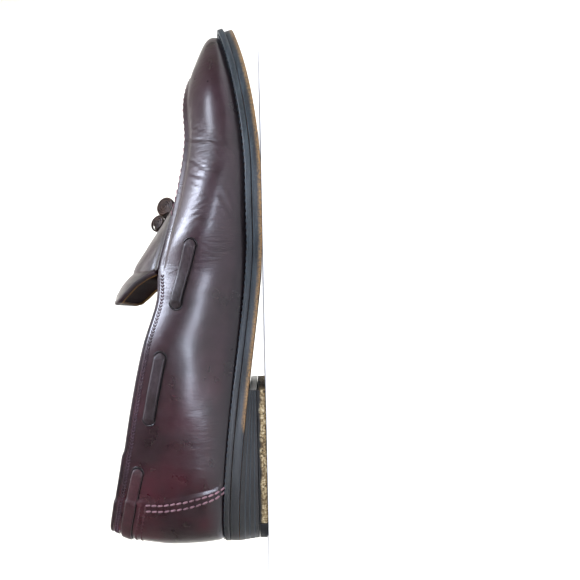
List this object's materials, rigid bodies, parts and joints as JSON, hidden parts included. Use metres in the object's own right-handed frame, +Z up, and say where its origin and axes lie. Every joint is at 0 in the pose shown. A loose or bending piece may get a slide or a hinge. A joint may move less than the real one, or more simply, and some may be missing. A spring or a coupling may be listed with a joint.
{
  "type": "tassel_loafer",
  "caption": "Left tassel loafer in dark smooth leather with a raised apron seam, collar lace, knot and two tassels, on a welted leather sole with a stacked heel",
  "frame": {"origin": "on the floor, at the centre of the shoe's footprint, without its loose lace and tassels", "axes": "+X towards the toe, +Y towards the outer (lateral) side of this left shoe, +Z up"},
  "size_m": [0.2958, 0.1036, 0.0885],
  "materials": {
    "leather": "smooth waxed calf, creased over the vamp",
    "lining": "matt brown lining leather",
    "sole_edge": "dark blue-black dyed and waxed sole leather",
    "worn_leather": "worn, undyed heel top piece",
    "rubber": "matt black rubber",
    "lace_leather": "flat rawhide-style lace, grey-brown and rubbed"
  },
  "bodies": {
    "root": {"outsole": "sole_edge", "welt": "sole_edge", "heel_stack": "sole_edge", "heel_top_lift": "worn_leather", "heel_rubber_tip": "rubber", "insole": "lining", "upper": "leather", "tongue": "leather", "collar_lace_front_lateral": "lace_leather", "collar_lace_middle_lateral": "lace_leather", "collar_lace_front_medial": "lace_leather", "collar_lace_middle_medial": "lace_leather", "collar_lace_back": "lace_leather", "lace_knot": "lace_leather", "tassel_inner": "lace_leather", "lace_end_inner": "lace_leather", "tassel_outer": "lace_leather", "lace_end_outer": "lace_leather"}
  },
  "joints": []
}
